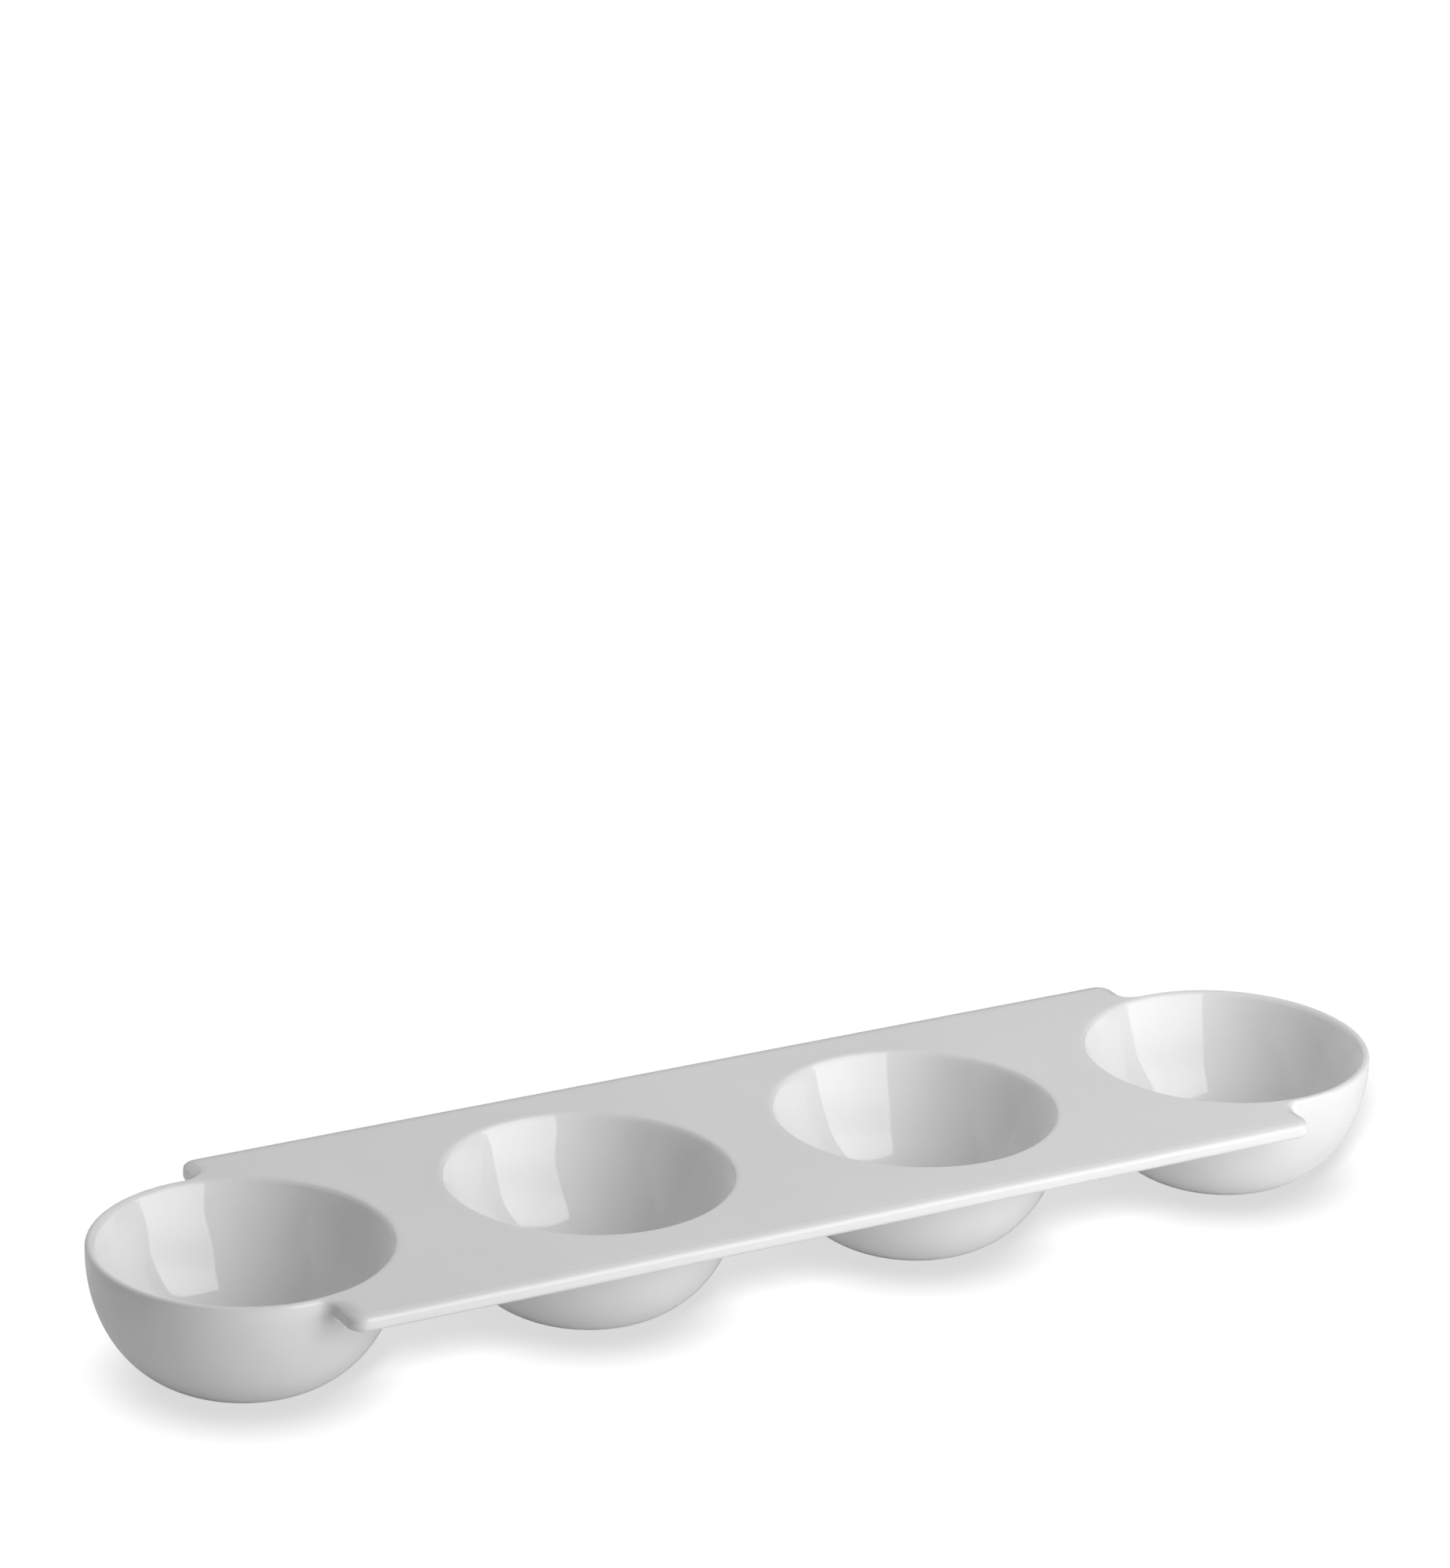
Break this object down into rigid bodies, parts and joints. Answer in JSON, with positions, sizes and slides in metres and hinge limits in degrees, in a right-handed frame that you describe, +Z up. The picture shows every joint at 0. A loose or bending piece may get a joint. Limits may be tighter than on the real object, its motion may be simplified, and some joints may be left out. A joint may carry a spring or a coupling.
{
  "type": "egg holder tray",
  "caption": "White glazed porcelain tray: a flat round-edged deck with a row of bowl-shaped egg cups sunk through it, the end cups standing out past its ends.",
  "frame": {"origin": "on the surface the tray stands on, under the middle of the row of cups", "axes": "+X along the row of cups, +Y across the deck, +Z up out of the cups' mouths"},
  "size_m": [0.2482, 0.07, 0.0245],
  "materials": {
    "glazed_porcelain": "smooth glossy transparent glaze over white porcelain, left bare under the feet"
  },
  "bodies": {
    "root": {"deck": "glazed_porcelain", "left_end_cup": "glazed_porcelain", "left_inner_cup": "glazed_porcelain", "right_inner_cup": "glazed_porcelain", "right_end_cup": "glazed_porcelain"}
  },
  "joints": []
}
